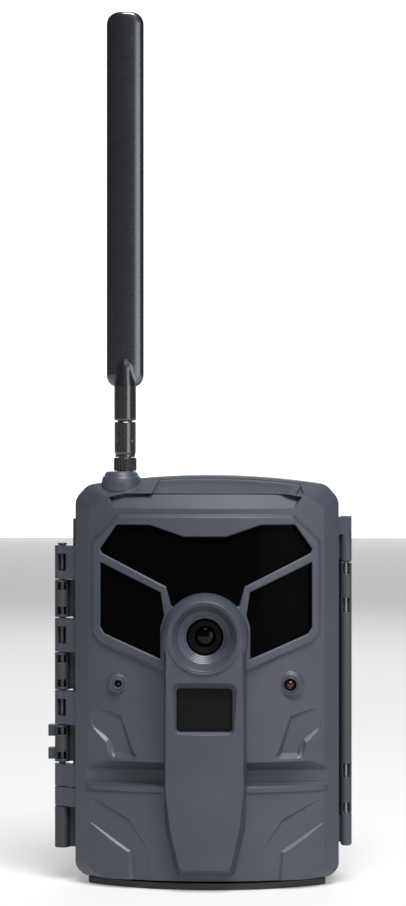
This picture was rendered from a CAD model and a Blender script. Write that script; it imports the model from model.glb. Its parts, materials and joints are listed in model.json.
"""Looks of the trail camera: materials, detailed meshes, studio light and the camera."""

import json
import math

import bmesh
import bpy
from mathutils import Matrix, Vector


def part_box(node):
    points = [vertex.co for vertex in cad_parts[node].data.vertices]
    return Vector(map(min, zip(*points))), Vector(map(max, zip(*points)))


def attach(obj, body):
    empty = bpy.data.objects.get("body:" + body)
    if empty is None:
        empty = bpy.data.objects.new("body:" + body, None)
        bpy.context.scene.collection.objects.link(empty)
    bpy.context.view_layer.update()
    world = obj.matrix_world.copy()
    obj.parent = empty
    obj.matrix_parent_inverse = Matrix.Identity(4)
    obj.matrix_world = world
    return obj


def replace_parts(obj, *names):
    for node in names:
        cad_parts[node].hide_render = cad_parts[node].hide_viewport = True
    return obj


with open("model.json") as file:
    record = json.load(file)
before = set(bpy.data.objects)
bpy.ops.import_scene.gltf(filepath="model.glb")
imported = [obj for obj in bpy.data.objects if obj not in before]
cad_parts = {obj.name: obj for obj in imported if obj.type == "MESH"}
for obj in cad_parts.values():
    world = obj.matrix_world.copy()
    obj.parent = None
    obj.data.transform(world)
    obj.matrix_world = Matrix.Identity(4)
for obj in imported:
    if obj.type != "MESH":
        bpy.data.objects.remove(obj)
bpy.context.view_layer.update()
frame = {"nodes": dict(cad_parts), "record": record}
NODES = frame["nodes"]
NODE_BODY = {node: body for body, nodes in frame["record"]["behaviour"]["bodies"].items() for node in nodes}
MM = 0.001

# stage, in metres
FLOOR_HALF_WIDTH = 7
BACKDROP_HALF_WIDTH = 1.15
BACKDROP_Y = 4.0  # further back than any camera that looks at the object from behind

# the antenna's paddle, in mm, as heights above the floor, and measures from its middle
NECK_LOW, PADDLE_LOW, RIDGE_TOP, PADDLE_TOP = 175.9, 189.0, 199.5, 331.0
PADDLE_WIDTH, PADDLE_DEPTH = 7.05, 2.6
SHOULDER_WIDTH, SHOULDER_DEPTH, SHOULDER_RISE = 3.9, 2.2, 4.4
CROWN_WIDTH, CROWN_DEPTH, CROWN_RISE, CROWN_EDGE = 2.6, 1.5, 4.6, 1.3
NECK_RADIUS, NECK_EDGE = 4.2, 0.3
RIDGE_DOME = 4.2  # height of the ridge's rounded end
FADED = 0.05  # radius that stands for no ridge
PIN_Z = 171.0
TONGUE_RADIUS, TONGUE_REACH, TONGUE_THICKNESS = 2.62, 6.0, 5.4

MARK_RISE = 0.4  # mm, from a key mark's foot to its face
MARK_FOOT = 0.42 * MM  # along Y, under the key's face


# ---------------------------------------------------------------- camera, light and floor
def point_at(obj, target):
    """Turns a light or camera towards a point."""
    obj.rotation_mode = "QUATERNION"
    obj.rotation_quaternion = (Vector(target) - obj.location).to_track_quat("-Z", "Y")


def make_camera():
    """Level camera, straight in front and a little to the right."""
    distance = 1.0
    azimuth = math.radians(2.2)
    target = Vector((-0.0015, -0.017, 0.1636))
    data = bpy.data.cameras.new("camera")
    data.sensor_width = 36.0
    data.lens = 104.6
    camera = bpy.data.objects.new("camera", data)
    bpy.context.scene.collection.objects.link(camera)
    camera.location = target + distance * Vector((math.sin(azimuth), -math.cos(azimuth), 0))
    point_at(camera, target)
    bpy.context.scene.camera = camera


def area_light(name, location, target, size, power, colour=(1, 1, 1)):
    """Soft rectangular light."""
    data = bpy.data.lights.new(name, "AREA")
    data.shape = "RECTANGLE"
    data.size, data.size_y = size
    data.energy = power
    data.color = colour
    light = bpy.data.objects.new(name, data)
    bpy.context.scene.collection.objects.link(light)
    light.location = location
    point_at(light, target)


def strip_mesh(name, rows):
    """Wide sheet through rows of (half width, y, z)."""
    mesh = bpy.data.meshes.new(name)
    bm = bmesh.new()
    lines = [[bm.verts.new((side * half, y, z)) for side in (-1, 1)] for half, y, z in rows]
    for below, above in zip(lines, lines[1:]):
        bm.faces.new((below[0], below[1], above[1], above[0]))
    bm.to_mesh(mesh)
    bm.free()
    for polygon in mesh.polygons:
        polygon.use_smooth = True
    sheet = bpy.data.objects.new(name, mesh)
    bpy.context.scene.collection.objects.link(sheet)
    return mesh


def make_studio():
    """White sweep and backdrop, and soft lights, the brightest from above and a little to the right."""
    scene = bpy.context.scene
    scene.view_settings.view_transform = "Standard"
    scene.view_settings.look = "None"
    world = bpy.data.worlds.new("studio")
    scene.world = world
    world.use_nodes = True
    background = world.node_tree.nodes["Background"]
    background.inputs["Color"].default_value = (0.97, 0.98, 1.0, 1)
    background.inputs["Strength"].default_value = 0.06
    area_light("key", (0.2, -0.76, 1.28), (0, 0, 0.12), (0.8, 0.8), 34)
    area_light("window", (0.78, -1.0, 0.3), (0, -0.03, 0.2), (0.6, 0.6), 2.7, (0.88, 0.94, 1.0))
    area_light("back", (0.0, 1.3, 0.95), (0, 0, 0.1), (1.4, 0.7), 8)
    curve = [(-7, 0), (5.2, 0), (5.7, 0.08), (6.0, 0.35), (6.1, 0.8), (6.1, 4)]
    sweep = strip_mesh("floor", [(FLOOR_HALF_WIDTH, y, z) for y, z in curve])
    white = plain_material("floor_white", (0.45, 0.45, 0.45), 0.8)
    glow(white, 0.32)
    sweep.materials.append(white)
    backdrop = strip_mesh("backdrop", [(BACKDROP_HALF_WIDTH, BACKDROP_Y, z) for z in (0.002, 2.9)])
    bright = plain_material("backdrop_white", (0.9, 0.9, 0.9), 0.7)
    glow(bright, 1.0)
    backdrop.materials.append(bright)


# ---------------------------------------------------------------- materials
def shader_tree(name, colour, roughness, metallic=0.0):
    """New material with one principled shader, and its node tree."""
    material = bpy.data.materials.new(name)
    material.use_nodes = True
    tree = material.node_tree
    shader = tree.nodes["Principled BSDF"]
    shader.inputs["Base Color"].default_value = (*colour, 1)
    shader.inputs["Roughness"].default_value = roughness
    shader.inputs["Metallic"].default_value = metallic
    return material, tree, shader


def plain_material(name, colour, roughness):
    """Even material for the stage."""
    return shader_tree(name, colour, roughness)[0]


def glow(material, strength):
    """Adds even white emission to a stage material."""
    shader = material.node_tree.nodes["Principled BSDF"]
    shader.inputs["Emission Color"].default_value = (1, 1, 1, 1)
    shader.inputs["Emission Strength"].default_value = strength


def noise(tree, scale, detail=3.0, stretch=(1, 1, 1)):
    """Noise in the object's own coordinates, scale in turns per metre."""
    coords = tree.nodes.new("ShaderNodeTexCoord")
    mapping = tree.nodes.new("ShaderNodeMapping")
    mapping.inputs["Scale"].default_value = stretch
    texture = tree.nodes.new("ShaderNodeTexNoise")
    texture.inputs["Scale"].default_value = scale
    texture.inputs["Detail"].default_value = detail
    tree.links.new(coords.outputs["Object"], mapping.inputs["Vector"])
    tree.links.new(mapping.outputs["Vector"], texture.inputs["Vector"])
    return texture.outputs["Fac"]


def remap(tree, value, low, high, to_low, to_high):
    """Linear change of range, clamped."""
    node = tree.nodes.new("ShaderNodeMapRange")
    node.clamp = True
    for socket, number in zip(("From Min", "From Max", "To Min", "To Max"), (low, high, to_low, to_high)):
        node.inputs[socket].default_value = number
    tree.links.new(value, node.inputs["Value"])
    return node.outputs["Result"]


def spread(tree, value, to_low, to_high):
    """Stretches noise, which stays near its middle, over a range."""
    return remap(tree, value, 0.3, 0.7, to_low, to_high)


def mix_colour(tree, factor, first, second):
    """Mix of two colours, each a tuple or a socket."""
    node = tree.nodes.new("ShaderNodeMix")
    node.data_type = "RGBA"
    tree.links.new(factor, node.inputs["Factor"])
    for socket, value in ((node.inputs[6], first), (node.inputs[7], second)):
        if isinstance(value, tuple):
            socket.default_value = (*value, 1)
        else:
            tree.links.new(value, socket)
    return node.outputs[2]


def edge_mask(tree, radius):
    """Rounded normal near edges, and a mask that is 1 on them."""
    bevel = tree.nodes.new("ShaderNodeBevel")
    bevel.samples = 6
    bevel.inputs["Radius"].default_value = radius
    geometry = tree.nodes.new("ShaderNodeNewGeometry")
    dot = tree.nodes.new("ShaderNodeVectorMath")
    dot.operation = "DOT_PRODUCT"
    tree.links.new(bevel.outputs["Normal"], dot.inputs[0])
    tree.links.new(geometry.outputs["Normal"], dot.inputs[1])
    return bevel.outputs["Normal"], remap(tree, dot.outputs["Value"], 0.985, 0.86, 0.0, 1.0)


def bump(tree, height, depth, normal=None):
    """Bump of a given depth in metres."""
    node = tree.nodes.new("ShaderNodeBump")
    node.inputs["Distance"].default_value = depth
    tree.links.new(height, node.inputs["Height"])
    if normal:
        tree.links.new(normal, node.inputs["Normal"])
    return node.outputs["Normal"]


def scaled(colour, factor):
    """A colour made lighter or darker."""
    return tuple(min(1.0, channel * factor) for channel in colour)


def moulded(name, colour, roughness, grain=0.0003, relief=0.00003, round_edge=0.0004, wear=1.35, mottle=0.1):
    """Moulded plastic or rubber: spark-eroded grain, faint mottling, scuffed and rounded edges."""
    material, tree, shader = shader_tree(name, colour, roughness)
    normal, edges = edge_mask(tree, round_edge)
    broad = noise(tree, 45.0, 4.0)
    body = mix_colour(
        tree,
        spread(tree, broad, 0.0, 1.0),
        scaled(colour, 1.0 - mottle),
        scaled(colour, 1.0 + mottle),
    )
    scuffs = tree.nodes.new("ShaderNodeMath")
    scuffs.operation = "MULTIPLY"
    tree.links.new(edges, scuffs.inputs[0])
    tree.links.new(remap(tree, noise(tree, 380.0, 3.0), 0.35, 0.65, 0.25, 0.9), scuffs.inputs[1])
    worn = mix_colour(tree, scuffs.outputs["Value"], body, scaled(colour, wear))
    tree.links.new(worn, shader.inputs["Base Color"])
    fine = noise(tree, 1.0 / grain, 2.0)
    tree.links.new(spread(tree, fine, roughness - 0.06, roughness + 0.08), shader.inputs["Roughness"])
    tree.links.new(bump(tree, fine, relief, normal), shader.inputs["Normal"])
    return material


def lacquer(material, specular, coat, coat_roughness):
    """Sets how much a moulded material mirrors, and its clear coat."""
    shader = material.node_tree.nodes["Principled BSDF"]
    shader.inputs["Specular IOR Level"].default_value = specular
    shader.inputs["Coat Weight"].default_value = coat
    shader.inputs["Coat Roughness"].default_value = coat_roughness
    shader.inputs["Coat IOR"].default_value = 1.6


def facetted(name, colour, roughness):
    """Milky dark lens sheet with a faint grid of rounded facets."""
    material, tree, shader = shader_tree(name, colour, roughness)
    coords = tree.nodes.new("ShaderNodeTexCoord")
    cells = tree.nodes.new("ShaderNodeTexVoronoi")
    cells.inputs["Scale"].default_value = 240.0
    cells.inputs["Randomness"].default_value = 0.0
    tree.links.new(coords.outputs["Object"], cells.inputs["Vector"])
    distance = cells.outputs["Distance"]
    rim = remap(tree, distance, 0.2, 0.75, 0.0, 1.0)
    tone = mix_colour(tree, rim, scaled(colour, 1.2), scaled(colour, 0.7))
    tree.links.new(tone, shader.inputs["Base Color"])
    gloss = spread(tree, noise(tree, 900.0), roughness - 0.05, roughness + 0.08)
    tree.links.new(gloss, shader.inputs["Roughness"])
    tree.links.new(bump(tree, remap(tree, distance, 0.0, 0.8, 1.0, 0.0), 0.0001), shader.inputs["Normal"])
    shader.inputs["Specular IOR Level"].default_value = 0.14
    return material


def metal(name, colour, roughness, stretch=(1, 1, 12), relief=0.000004):
    """Drawn or turned metal with fine lines."""
    material, tree, shader = shader_tree(name, colour, roughness, metallic=1.0)
    normal, edges = edge_mask(tree, 0.0002)
    lines = noise(tree, 2500.0, 3.0, stretch)
    patches = spread(tree, noise(tree, 300.0), 0.0, 1.0)
    tone = mix_colour(tree, patches, scaled(colour, 0.86), scaled(colour, 1.05))
    tree.links.new(mix_colour(tree, edges, tone, scaled(colour, 1.15)), shader.inputs["Base Color"])
    tree.links.new(spread(tree, lines, roughness - 0.08, roughness + 0.1), shader.inputs["Roughness"])
    tree.links.new(bump(tree, lines, relief, normal), shader.inputs["Normal"])
    return material


def polished(name, colour, roughness, coat=0.0, specular=0.5, mottle=0.06, transmission=0.0):
    """Smooth glossy plastic or glass with faint haze and dust."""
    material, tree, shader = shader_tree(name, colour, roughness)
    haze = noise(tree, 120.0, 5.0)
    gloss = remap(tree, haze, 0.35, 0.75, max(0.01, roughness - 0.02), roughness + 0.07)
    tree.links.new(gloss, shader.inputs["Roughness"])
    tone = mix_colour(tree, haze, scaled(colour, 1 - mottle), scaled(colour, 1 + mottle))
    tree.links.new(tone, shader.inputs["Base Color"])
    shader.inputs["Specular IOR Level"].default_value = specular
    shader.inputs["Coat Weight"].default_value = coat
    shader.inputs["Coat Roughness"].default_value = 0.03
    shader.inputs["Transmission Weight"].default_value = transmission
    return material


def circuit_board(name):
    """Green solder mask with pale copper tracks under it."""
    base = (0.01, 0.075, 0.03)
    material, tree, shader = shader_tree(name, base, 0.3)
    coords = tree.nodes.new("ShaderNodeTexCoord")
    brick = tree.nodes.new("ShaderNodeTexBrick")
    brick.inputs["Scale"].default_value = 160.0
    brick.inputs["Mortar Size"].default_value = 0.06
    brick.inputs["Color1"].default_value = (*base, 1)
    brick.inputs["Color2"].default_value = (*scaled(base, 1.35), 1)
    brick.inputs["Mortar"].default_value = (0.03, 0.15, 0.06, 1)
    mapping = tree.nodes.new("ShaderNodeMapping")
    mapping.inputs["Rotation"].default_value = (math.pi / 2, 0, 0)
    tree.links.new(coords.outputs["Object"], mapping.inputs["Vector"])
    tree.links.new(mapping.outputs["Vector"], brick.inputs["Vector"])
    tree.links.new(brick.outputs["Color"], shader.inputs["Base Color"])
    tree.links.new(bump(tree, brick.outputs["Fac"], 0.00003), shader.inputs["Normal"])
    return material


# ---------------------------------------------------------------- detailed pieces
def islands(name):
    """The points of each separate solid of a CAD node, in a fixed order."""
    bm = bmesh.new()
    bm.from_mesh(NODES[name].data)
    bmesh.ops.remove_doubles(bm, verts=bm.verts, dist=1e-6)
    left = set(bm.verts)
    solids = []
    for start in bm.verts:
        if start not in left:
            continue
        left.remove(start)
        stack, points = [start], []
        while stack:
            vert = stack.pop()
            points.append(vert.co.copy())
            for edge in vert.link_edges:
                other = edge.other_vert(vert)
                if other in left:
                    left.remove(other)
                    stack.append(other)
        solids.append(points)
    bm.free()
    return solids


def upright_ends(points):
    """Axis and ends of a turned solid along Z, and its radius at the bottom and at the top."""
    low = [min(point[axis] for point in points) for axis in range(3)]
    high = [max(point[axis] for point in points) for axis in range(3)]
    centre = Vector(((low[0] + high[0]) / 2, (low[1] + high[1]) / 2, 0))

    def radius_near(z):
        near = [point for point in points if abs(point.z - z) < 0.3 * MM]
        return max((Vector((point.x, point.y, 0)) - centre).length for point in near)

    return centre, low[2], high[2], radius_near(low[2]), radius_near(high[2])


def lathe(bm, place, profile, segments=40):
    """Adds a turned solid: rows of (radius, height in mm, material slot of the band that follows)."""
    rings = []
    for radius, height, _ in profile:
        count = segments if radius else 1
        angles = [2 * math.pi * step / segments for step in range(count)]
        local = [Vector((radius * math.cos(a), radius * math.sin(a), height)) * MM for a in angles]
        rings.append([bm.verts.new(place @ point) for point in local])
    for row, (below, above) in enumerate(zip(rings, rings[1:])):
        for step in range(segments):
            after = (step + 1) % segments
            if len(below) == 1:
                corners = (below[0], above[after], above[step])
            elif len(above) == 1:
                corners = (below[step], below[after], above[0])
            else:
                corners = (below[step], below[after], above[after], above[step])
            bm.faces.new(corners).material_index = profile[row][2]


def skin(bm, rings):
    """Joins a stack of rings with the same number of points, and closes both ends."""
    count = len(rings[0])
    for below, above in zip(rings, rings[1:]):
        for step in range(count):
            after = (step + 1) % count
            bm.faces.new((below[step], below[after], above[after], above[step]))
    bm.faces.new(rings[0][::-1])
    bm.faces.new(rings[-1])


def prism(bm, outline, place, thickness, bevel):
    """Adds a flat raised mark with a bevelled front: outline in mm, thickness along the local Z."""
    middle = Vector((sum(x for x, _ in outline), sum(y for _, y in outline), 0)) / len(outline)
    rings = []
    for height, shrink in ((0, 0), (thickness - bevel, 0), (thickness, bevel)):
        ring = []
        for x, y in outline:
            point = Vector((x, y, 0))
            point -= (point - middle).normalized() * shrink
            ring.append(bm.verts.new(place @ ((point + Vector((0, 0, height))) * MM)))
        rings.append(ring)
    skin(bm, rings)


def tube(bm, points, radius, sides=8):
    """Adds a round wire along a list of points that never runs straight up."""
    rings = []
    for index, point in enumerate(points):
        before, after = points[max(index - 1, 0)], points[min(index + 1, len(points) - 1)]
        tangent = (after - before).normalized()
        side = tangent.cross(Vector((0, 0, 1))).normalized()
        up = side.cross(tangent)
        angles = [2 * math.pi * step / sides for step in range(sides)]
        rings.append([bm.verts.new(point + radius * (side * math.cos(a) + up * math.sin(a))) for a in angles])
    skin(bm, rings)


def finish_piece(name, bm, body, materials, sharp=35):
    """Turns the mesh into an object that rides on a body."""
    bmesh.ops.recalc_face_normals(bm, faces=bm.faces)
    mesh = bpy.data.meshes.new(name)
    bm.to_mesh(mesh)
    bm.free()
    for material in materials:
        mesh.materials.append(material)
    for polygon in mesh.polygons:
        polygon.use_smooth = True
    mesh.set_sharp_from_angle(angle=math.radians(sharp))
    piece = bpy.data.objects.new(name, mesh)
    bpy.context.scene.collection.objects.link(piece)
    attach(piece, body)
    return piece


def make_cells(materials):
    """AA cells with rolled can ends, a shrunk jacket with a coloured band, and the raised contact."""
    metal_slot, jacket, band, washer = 0, 1, 2, 3
    bm = bmesh.new()
    for points in islands("aa_cells"):
        centre, low, high, radius_low, radius_high = upright_ends(points)
        length = (high - low) / MM
        profile = [
            (0, 0, metal_slot),
            (4.7, 0, metal_slot),
            (5.1, 0.3, metal_slot),
            (6.2, 0.3, metal_slot),
            (6.6, 0.5, jacket),
            (6.95, 0.75, jacket),
            (7.08, 1.3, jacket),
            (7.08, 34.5, band),
            (7.08, 44.0, jacket),
            (7.08, length - 2.6, jacket),
            (6.9, length - 1.9, jacket),
            (6.3, length - 1.5, washer),
            (3.2, length - 1.45, metal_slot),
            (2.75, length - 1.3, metal_slot),
            (2.68, length - 0.35, metal_slot),
            (2.4, length, metal_slot),
            (0, length, metal_slot),
        ]
        if radius_high < radius_low:
            place = Matrix.Translation((centre.x, centre.y, low))
        else:
            place = Matrix.Translation((centre.x, centre.y, high)) @ Matrix.Rotation(math.pi, 4, "X")
        lathe(bm, place, profile)
    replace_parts(finish_piece("aa_cells_detailed", bm, "case", materials), "aa_cells")


def make_springs(material):
    """Coned helical contact springs wound from round wire."""
    wire, turns, per_turn = 0.36 * MM, 4.2, 22
    bm = bmesh.new()
    for points in islands("battery_springs"):
        centre, low, high, radius_low, radius_high = upright_ends(points)
        wide_low = radius_low > radius_high
        start = low + wire if wide_low else high - wire
        end = high - wire if wide_low else low + wire
        line = []
        for step in range(int(turns * per_turn) + 1):
            share = step / (turns * per_turn)
            angle = 2 * math.pi * step / per_turn
            radius = (3.85 - 1.75 * share) * MM
            climb = min(1.0, max(0.0, (share - 0.15) / 0.7))
            height = start + (end - start) * climb
            across = Vector((math.cos(angle), math.sin(angle), 0)) * radius
            line.append(Vector((centre.x + across.x, centre.y + across.y, height)))
        tube(bm, line, wire)
    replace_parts(finish_piece("battery_springs_wound", bm, "case", [material], 60), "battery_springs")


def key_face(name):
    """Place of a key mark's foot: the middle of the key, just under its face."""
    low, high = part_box(name)
    return Matrix.Translation(((low[0] + high[0]) / 2, high[1] - MARK_FOOT, (low[2] + high[2]) / 2))


def make_key_marks(material):
    """Raised arrows on the four direction keys and a ring on the middle one."""
    arrow = [(0, 1.35), (-1.45, -0.7), (-0.75, -0.95), (0, -0.05), (0.75, -0.95), (1.45, -0.7)]
    turns = {"button_up": 0, "button_left": 1, "button_down": 2, "button_right": 3}
    for name, quarter in turns.items():
        upright = Matrix.Rotation(math.pi / 2, 4, "X") @ Matrix.Rotation(math.pi, 4, "X")
        turn = Matrix.Rotation(-quarter * math.pi / 2, 4, "Y")
        flat = [(-x, -y) for x, y in arrow]
        bm = bmesh.new()
        prism(bm, flat, key_face(name) @ turn @ upright, MARK_RISE, 0.12)
        finish_piece(name + "_mark", bm, NODE_BODY[name], [material])
    bm = bmesh.new()
    ring = [(1.0, 0), (1.0, 0.3), (1.12, MARK_RISE), (1.4, MARK_RISE), (1.52, 0.3), (1.52, 0), (1.0, 0)]
    place = key_face("button_ok") @ Matrix.Rotation(-math.pi / 2, 4, "X")
    lathe(bm, place, [(radius, height, 0) for radius, height in ring])
    bmesh.ops.remove_doubles(bm, verts=bm.verts, dist=1e-7)
    finish_piece("button_ok_mark", bm, NODE_BODY["button_ok"], [material])


def blade_ring(z):
    """Half width and half depth of the paddle, and the radii of the ridge on it, at a height in mm."""
    width, depth = PADDLE_WIDTH, PADDLE_DEPTH
    if z < PADDLE_LOW + SHOULDER_RISE:
        rise = max(0.0, (z - PADDLE_LOW) / SHOULDER_RISE)
        width = SHOULDER_WIDTH + (PADDLE_WIDTH - SHOULDER_WIDTH) * math.sqrt(1 - (1 - rise) ** 2)
        depth = SHOULDER_DEPTH + (PADDLE_DEPTH - SHOULDER_DEPTH) * rise
    elif z > PADDLE_TOP - CROWN_RISE:
        fall = min(1.0, (z - PADDLE_TOP + CROWN_RISE) / CROWN_RISE)
        width = CROWN_WIDTH + (PADDLE_WIDTH - CROWN_WIDTH) * math.sqrt(1 - fall**2)
    if z > PADDLE_TOP - CROWN_EDGE:
        fall = (z - PADDLE_TOP + CROWN_EDGE) / CROWN_EDGE
        depth = CROWN_DEPTH + (PADDLE_DEPTH - CROWN_DEPTH) * math.sqrt(max(0.0, 1 - fall**2))
    if z <= PADDLE_LOW:
        ridge = (NECK_RADIUS, NECK_RADIUS)
    elif z < RIDGE_TOP:
        share = (z - PADDLE_LOW) / (RIDGE_TOP - PADDLE_LOW)
        across, out = NECK_RADIUS - 0.8 * min(1.0, 2 * share), NECK_RADIUS - 1.25 * share
        dome = math.sqrt(max(0.0, 1 - max(0.0, (z - RIDGE_TOP + RIDGE_DOME) / RIDGE_DOME) ** 2))
        ridge = (max(FADED, across * dome), max(FADED, SHOULDER_DEPTH + (out - SHOULDER_DEPTH) * dome))
    else:
        ridge = (FADED, FADED)
    return width, depth, ridge


def polar(width, depth, angle):
    """Radius of an ellipse at an angle."""
    return width * depth / math.hypot(depth * math.cos(angle), width * math.sin(angle))


def neck_inset(z):
    """How far the rounded lower edge of the neck draws in at a height."""
    drop = max(0.0, NECK_LOW + NECK_EDGE - z)
    return NECK_EDGE - min(NECK_EDGE, math.sqrt(max(0.0, NECK_EDGE**2 - drop**2)))


def make_tongue(bm, centre):
    """Adds the flat tongue below the neck, with a round end about the folding pin."""
    arc = [math.pi * step / 14 for step in range(1, 14)]
    outline = [(-TONGUE_RADIUS, TONGUE_REACH), (-TONGUE_RADIUS, 0.0)]
    outline += [(-TONGUE_RADIUS * math.cos(a), -TONGUE_RADIUS * math.sin(a)) for a in arc]
    outline += [(TONGUE_RADIUS, 0.0), (TONGUE_RADIUS, TONGUE_REACH)]
    corner = Matrix.Translation(centre + Vector((-TONGUE_THICKNESS / 2, 0, PIN_Z)) * MM)
    along_x = Matrix(((0, 0, 1, 0), (1, 0, 0, 0), (0, 1, 0, 0), (0, 0, 0, 1)))
    prism(bm, outline, corner @ along_x, TONGUE_THICKNESS, 0.15)


def make_blade(material):
    """The antenna's paddle as one smooth skin: round neck, soft shoulders, fading ridge and rounded top."""
    low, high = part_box("antenna_blade")
    centre = Vector(((low.x + high.x) / 2, (low.y + high.y) / 2, 0))
    segments = 72
    sharpness = 14.0  # how tightly the ridge meets the paddle
    heights = [NECK_LOW, 176.0, 176.25, 176.7, 182.0, 187.5]
    heights += [188.5 + 0.22 * step for step in range(54)]
    heights += [200.6 + 4.2 * step for step in range(30)]
    heights += [325.5 + 0.25 * step for step in range(22)] + [330.9, PADDLE_TOP]
    bm = bmesh.new()
    rings = []
    for z in heights:
        width, depth, ridge = blade_ring(z)
        ring = []
        for step in range(segments):
            angle = 2 * math.pi * step / segments
            flat = polar(width, depth, angle) if z > 188.9 else 0.0
            raised = polar(*ridge, angle)
            radius = (flat**sharpness + raised**sharpness) ** (1 / sharpness) - neck_inset(z)
            point = Vector((radius * math.cos(angle), radius * math.sin(angle), z))
            ring.append(bm.verts.new(centre + point * MM))
        rings.append(ring)
    skin(bm, rings)
    make_tongue(bm, centre)
    blade = finish_piece("antenna_blade_skin", bm, NODE_BODY["antenna_blade"], [material], 50)
    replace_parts(blade, "antenna_blade")


def dress(material, *names):
    """Gives CAD nodes a material."""
    for name in names:
        node = NODES[name]
        for slot in node.material_slots:
            slot.material = material


def dress_all():
    """One finished material for each kind of surface."""
    housing = moulded("housing_grey", (0.041, 0.0475, 0.066), 0.4)
    case = moulded("case_grey", (0.026, 0.030, 0.035), 0.5)
    lever = moulded("lever_grey", (0.036, 0.040, 0.046), 0.42)
    hood = moulded("hood_grey", (0.042, 0.049, 0.068), 0.34, relief=0.00001, round_edge=0.0002)
    black = moulded("black_plastic", (0.018, 0.019, 0.021), 0.5, wear=1.8)
    antenna = moulded("antenna_black", (0.0042, 0.005, 0.0075), 0.24, grain=0.0003, relief=0.000012, wear=2.0)
    lacquer(antenna, 0.9, 1.0, 0.2)
    rubber = moulded("black_rubber", (0.018, 0.019, 0.02), 0.6, grain=0.0005, relief=0.00004, wear=1.6)
    keys = moulded("key_rubber", (0.055, 0.058, 0.062), 0.62, wear=1.3)
    dress(housing, "front_housing")
    dress(case, "rear_case", "mount_bracket")
    dress(lever, "latch_lever")
    dress(hood, "lens_hood", "light_sensor_bezel", "lamp_bezel")
    dress(black, "battery_tray", "lens_holder", "power_jack", "inner_cover", "memory_card")
    dress(antenna, "antenna_base", "antenna_blade")
    nut = moulded("nut_black", (0.012, 0.013, 0.016), 0.32, relief=0.00001, wear=3.0, round_edge=0.0002)
    dress(nut, "antenna_nut")
    make_blade(antenna)
    dress(moulded("pad_rubber", (0.032, 0.035, 0.037), 0.6, grain=0.0005, wear=1.4), "base_pad")
    dress(rubber, "door_gasket", "jack_plug", "lens_seal", "antenna_pigtail")
    dress(keys, "power_slider", *[name for name in NODES if name.startswith("button_")])
    dress(polished("ir_filter", (0.0012, 0.0012, 0.0015), 0.16, specular=0.012), "ir_window")
    dress(facetted("pir_lens", (0.0025, 0.003, 0.0032), 0.42), "pir_window")
    dark = (0.0022, 0.0022, 0.0026)
    barrel = moulded("lens_black", dark, 0.4, relief=0.000004, wear=3.0, round_edge=0.00015)
    lacquer(barrel, 0.12, 0.0, 0.3)
    dress(barrel, "lens_barrel")
    dress(polished("lens_glass", (0.0015, 0.002, 0.004), 0.04, specular=0.18), "lens_glass")
    dress(polished("sensor_dark", (0.004, 0.004, 0.006), 0.08, coat=0.8), "light_sensor")
    dress(polished("lamp_red", (0.035, 0.004, 0.006), 0.1, coat=0.6), "status_lamp")
    dress(polished("lamp_lens", (0.03, 0.03, 0.034), 0.1, coat=0.6), "ir_lamps")
    steel = metal("steel", (0.55, 0.55, 0.56), 0.28)
    dress(steel, "base_screws", "bracket_screws")
    dress(metal("blackened_steel", (0.10, 0.105, 0.11), 0.42), "hinge_pin", "antenna_pin")
    dress(metal("dull_steel", (0.26, 0.27, 0.28), 0.38), "latch_pin")
    dress(steel, "tray_screws", "board_screws", "cover_screws")
    nickel = metal("nickel", (0.66, 0.64, 0.6), 0.25)
    dress(nickel, "battery_contacts", "battery_springs", "pir_sensor", "modem_module", "card_socket")
    brass = metal("brass", (0.72, 0.5, 0.2), 0.25)
    dress(brass, "tripod_insert", "contact_pins", "contact_pads", "antenna_jack")
    dress(circuit_board("circuit_board"), "ir_board", "main_board")
    dress(moulded("chip_black", (0.012, 0.012, 0.013), 0.45, grain=0.0002), "image_sensor", "key_switches")
    dress(polished("display_dark", (0.006, 0.007, 0.009), 0.1, coat=0.5), "display")
    pane = polished("clear_pane", (0.8, 0.85, 0.88), 0.03, transmission=0.92)
    dress(pane, "display_window")
    jacket = polished("cell_jacket", (0.012, 0.013, 0.016), 0.22, coat=0.3)
    band = metal("cell_band", (0.62, 0.36, 0.14), 0.3, (1, 1, 0.2))
    washer = moulded("cell_washer", (0.55, 0.55, 0.53), 0.6)
    make_cells([nickel, jacket, band, washer])
    make_springs(nickel)
    make_key_marks(moulded("key_print", (0.62, 0.63, 0.64), 0.5, relief=0.000004, wear=1.05))


# ---------------------------------------------------------------- writing out
make_camera()
make_studio()
dress_all()
